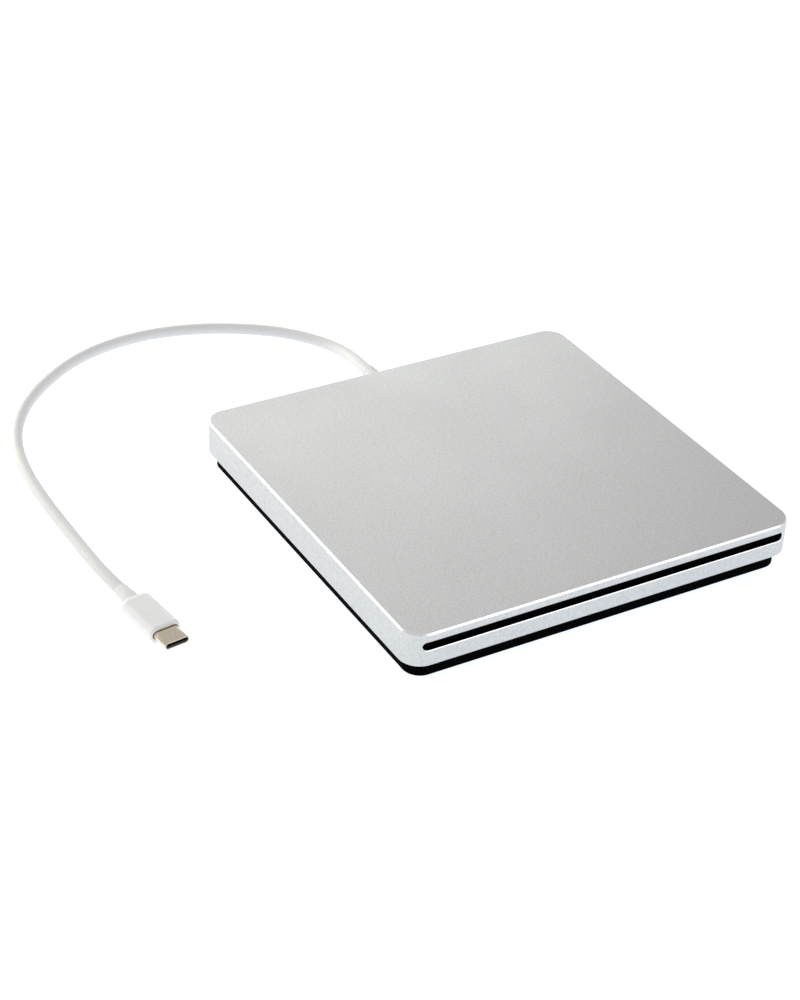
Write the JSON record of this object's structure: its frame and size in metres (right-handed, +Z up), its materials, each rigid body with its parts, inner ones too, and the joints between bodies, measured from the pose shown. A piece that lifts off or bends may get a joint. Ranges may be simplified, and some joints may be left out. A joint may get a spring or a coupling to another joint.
{
  "type": "external optical drive",
  "caption": "Slim square external optical drive with a slot-loading front, silver metal shell over a black base, and a short captive white USB cable.",
  "frame": {"origin": "centre of the drive's footprint on the surface that it stands on, without the cable", "axes": "+Z up; the disc slot faces -Y; +X is to the right when facing the slot"},
  "size_m": [0.1993, 0.223, 0.017],
  "materials": {
    "shell_aluminium": "satin",
    "black_plastic": "matte",
    "foot_silicone": "matte",
    "soft_rubber": "matte",
    "foam_pad": "matte",
    "seal_felt": "matte",
    "screw_steel": "satin",
    "chassis_steel": "satin",
    "rod_steel": "polished",
    "motor_steel": "satin",
    "circuit_board": "gloss",
    "chip_plastic": "matte",
    "connector_plastic": "matte",
    "contact_gold": "polished",
    "ribbon_film": "gloss",
    "gear_plastic": "satin",
    "worm_brass": "satin",
    "pickup_alloy": "satin",
    "lens_glass": "gloss",
    "tip_plastic": "satin",
    "cable_white": "satin",
    "plug_white": "gloss",
    "plug_metal": "satin"
  },
  "bodies": {
    "root": {"base_pad": "foot_silicone", "bottom_cover": "black_plastic", "top_shell": "shell_aluminium", "cover_screw_left": "screw_steel", "cover_screw_right": "screw_steel", "seal_frame": "black_plastic", "dust_seal_lower": "seal_felt", "dust_seal_upper": "seal_felt", "shock_pad_front_left": "foam_pad", "shock_pad_front_right": "foam_pad", "shock_pad_rear_left": "foam_pad", "shock_pad_rear_right": "foam_pad", "lower_chassis": "chassis_steel", "pivot_bush_left": "soft_rubber", "pivot_bush_rear": "soft_rubber", "arm_deck": "chassis_steel", "deck_screws": "screw_steel", "upper_cover": "chassis_steel", "module_screws": "screw_steel", "rear_bracket_left": "chassis_steel", "rear_bracket_middle": "chassis_steel", "loading_motor": "motor_steel", "drive_board": "circuit_board", "drive_chips": "chip_plastic", "bridge_board": "circuit_board", "bridge_chip": "chip_plastic", "sata_socket": "connector_plastic", "sata_plug": "connector_plastic", "cable_strain_relief": "cable_white", "cable_leads": "cable_white", "usb_cable": "cable_white", "plug_strain_relief": "cable_white", "plug_body": "plug_white", "plug_shell": "plug_metal", "plug_insert": "connector_plastic", "plug_contacts": "contact_gold", "pickup_ribbon": "ribbon_film"},
    "cam_slider": {"cam_slider": "gear_plastic"},
    "idler_gear": {"idler_gear": "gear_plastic"},
    "worm_wheel": {"worm_wheel": "gear_plastic"},
    "loading_worm": {"loading_worm": "worm_brass"},
    "traverse": {"traverse_frame": "chassis_steel", "guide_rod_left": "rod_steel", "guide_rod_rear": "rod_steel", "spindle_stator": "motor_steel", "sled_motor": "motor_steel"},
    "rotor": {"rotor_can": "motor_steel", "turntable": "black_plastic", "turntable_ring": "soft_rubber", "disc_hub": "black_plastic"},
    "pickup": {"pickup_body": "pickup_alloy"},
    "lens": {"lens_holder": "black_plastic", "objective_lens": "lens_glass"},
    "lead_screw": {"lead_screw": "rod_steel"},
    "eject_arm": {"eject_arm": "chassis_steel", "eject_tip": "tip_plastic"},
    "guide_arm_right": {"guide_arm_right": "chassis_steel", "guide_tip_right": "tip_plastic"},
    "guide_arm_left": {"guide_arm_left": "chassis_steel", "guide_tip_left": "tip_plastic"}
  },
  "joints": [
    {"name": "cam_slider_slide", "type": "slide", "parent": "root", "child": "cam_slider", "axis": [0, 1, 0], "range_m": [0, 0.012]},
    {"name": "traverse_tilt", "type": "hinge", "parent": "root", "child": "traverse", "pos_m": [-0.05091, 0.04691, 0.00775], "axis": [-0.7071, -0.7071, 0], "range_deg": [0, 1.77]},
    {"name": "idler_spin", "type": "hinge", "parent": "root", "child": "idler_gear", "pos_m": [0.04085, -0.026, 0.005], "axis": [0, 0, 1], "range_deg": [-276, 0.5]},
    {"name": "worm_wheel_spin", "type": "hinge", "parent": "root", "child": "worm_wheel", "pos_m": [0.04604, -0.03341, 0.005], "axis": [0, 0, 1], "range_deg": [-1, 717]},
    {"name": "worm_spin", "type": "hinge", "parent": "root", "child": "loading_worm", "pos_m": [0.05289, -0.0334, 0.0066], "axis": [0, 1, 0], "range_deg": [-14310, 10]},
    {"name": "spindle_spin", "type": "hinge", "parent": "traverse", "child": "rotor", "pos_m": [-0.00002, -0.00398, 0.0058], "axis": [0.0216, -0.0216, 0.9995], "continuous": true},
    {"name": "pickup_slide", "type": "slide", "parent": "traverse", "child": "pickup", "axis": [-0.7068, 0.7068, 0.0306], "range_m": [0, 0.034], "deforming": ["pickup_ribbon"]},
    {"name": "lead_screw_spin", "type": "hinge", "parent": "traverse", "child": "lead_screw", "pos_m": [-0.01838, -0.01532, 0.00715], "axis": [-0.7068, 0.7068, 0.0306], "range_deg": [-4090, 10]},
    {"name": "lens_focus", "type": "slide", "parent": "pickup", "child": "lens", "axis": [0.0216, -0.0216, 0.9995], "range_m": [-0.0004, 0.0004], "stiffness_N_per_m": 40},
    {"name": "eject_arm_swing", "type": "hinge", "parent": "root", "child": "eject_arm", "pos_m": [0.054, 0.044, 0.0104], "axis": [0, 0, 1], "range_deg": [-55, 0], "stiffness_Nm_per_rad": 0.002},
    {"name": "right_arm_swing", "type": "hinge", "parent": "root", "child": "guide_arm_right", "pos_m": [0.0575, -0.024, 0.0104], "axis": [0, 0, 1], "range_deg": [0, 22], "stiffness_Nm_per_rad": 0.002},
    {"name": "left_arm_swing", "type": "hinge", "parent": "root", "child": "guide_arm_left", "pos_m": [-0.0575, -0.024, 0.0104], "axis": [0, 0, 1], "range_deg": [-22, 0]}
  ],
  "couplings": [
    {"joint": "traverse_tilt", "follows": "cam_slider_slide", "rad_per_m": 2.5467},
    {"joint": "idler_spin", "follows": "cam_slider_slide", "rad_per_m": -400},
    {"joint": "worm_wheel_spin", "follows": "cam_slider_slide", "rad_per_m": 1040},
    {"joint": "worm_spin", "follows": "cam_slider_slide", "rad_per_m": -20800},
    {"joint": "lead_screw_spin", "follows": "pickup_slide", "rad_per_m": -2094.4},
    {"joint": "left_arm_swing", "follows": "right_arm_swing", "ratio": -1}
  ]
}
